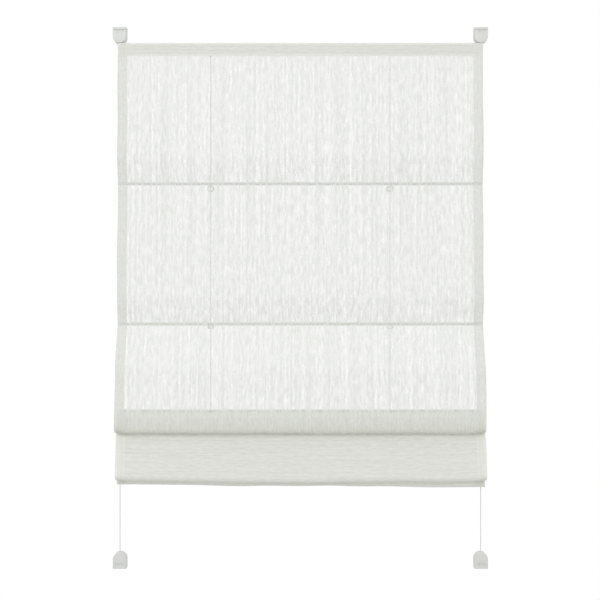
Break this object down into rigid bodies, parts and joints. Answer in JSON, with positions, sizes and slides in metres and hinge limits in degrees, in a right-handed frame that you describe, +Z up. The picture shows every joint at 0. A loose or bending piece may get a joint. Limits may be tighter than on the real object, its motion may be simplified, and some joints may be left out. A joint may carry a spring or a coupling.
{
  "type": "roman blind",
  "caption": "Sheer roman blind on tension cords between window brackets, with rods and rings on its back and its lower half gathered in soft folds.",
  "frame": {"origin": "middle of the screw holes of the top plates, on the window plane", "axes": "+X to the right seen from the room, +Z up, +Y towards the window"},
  "size_m": [0.618, 0.0513, 0.8925],
  "materials": {
    "plate": "matt moulded",
    "shoe": "satin moulded",
    "guide": "satin moulded",
    "cap": "satin moulded",
    "cord": "braided",
    "rail": "satin powder coat",
    "hook_strip": "fine hooks",
    "loop_strip": "brushed loops",
    "cloth": "sheer slub weave",
    "rod": "drawn fibre rod",
    "ring": "gloss moulded"
  },
  "bodies": {
    "head": {"plate_top_left": "plate", "plate_top_right": "plate", "plate_bottom_left": "plate", "plate_bottom_right": "plate", "shoe_top_left": "shoe", "shoe_top_right": "shoe", "shoe_bottom_left": "shoe", "shoe_bottom_right": "shoe", "cord_beads": "guide", "tension_cord_left": "cord", "tension_cord_right": "cord", "top_rail": "rail", "top_cap_left": "cap", "top_cap_right": "cap", "top_guide_left": "guide", "top_guide_right": "guide", "top_hook_strip": "hook_strip", "top_loop_strip": "loop_strip", "cloth": "cloth"},
    "upper_rod": {"rod_1": "rod", "rings_1": "ring", "tips_1": "cap"},
    "lower_rod": {"rod_2": "rod", "rings_2": "ring", "tips_2": "cap"},
    "gathered": {"rod_3": "rod", "rod_4": "rod", "rings_3": "ring", "rings_4": "ring", "tips_3": "cap", "tips_4": "cap", "bottom_rail": "rail", "bottom_cap_left": "cap", "bottom_cap_right": "cap", "bottom_guide_left": "guide", "bottom_guide_right": "guide", "bottom_hook_strip": "hook_strip", "bottom_loop_strip": "loop_strip"}
  },
  "joints": [
    {"name": "upper_rod_lift", "type": "slide", "parent": "head", "child": "upper_rod", "axis": [0, 0, 1], "range_m": [0, 0.203], "deforming": ["cloth"]},
    {"name": "lower_rod_lift", "type": "slide", "parent": "upper_rod", "child": "lower_rod", "axis": [0, 0, 1], "range_m": [0, 0.217], "deforming": ["cloth"]},
    {"name": "bottom_rail_lift", "type": "slide", "parent": "lower_rod", "child": "gathered", "axis": [0, 0, 1], "range_m": [-0.075, 0.129], "deforming": ["cloth", "tension_cord_left", "tension_cord_right"]}
  ]
}
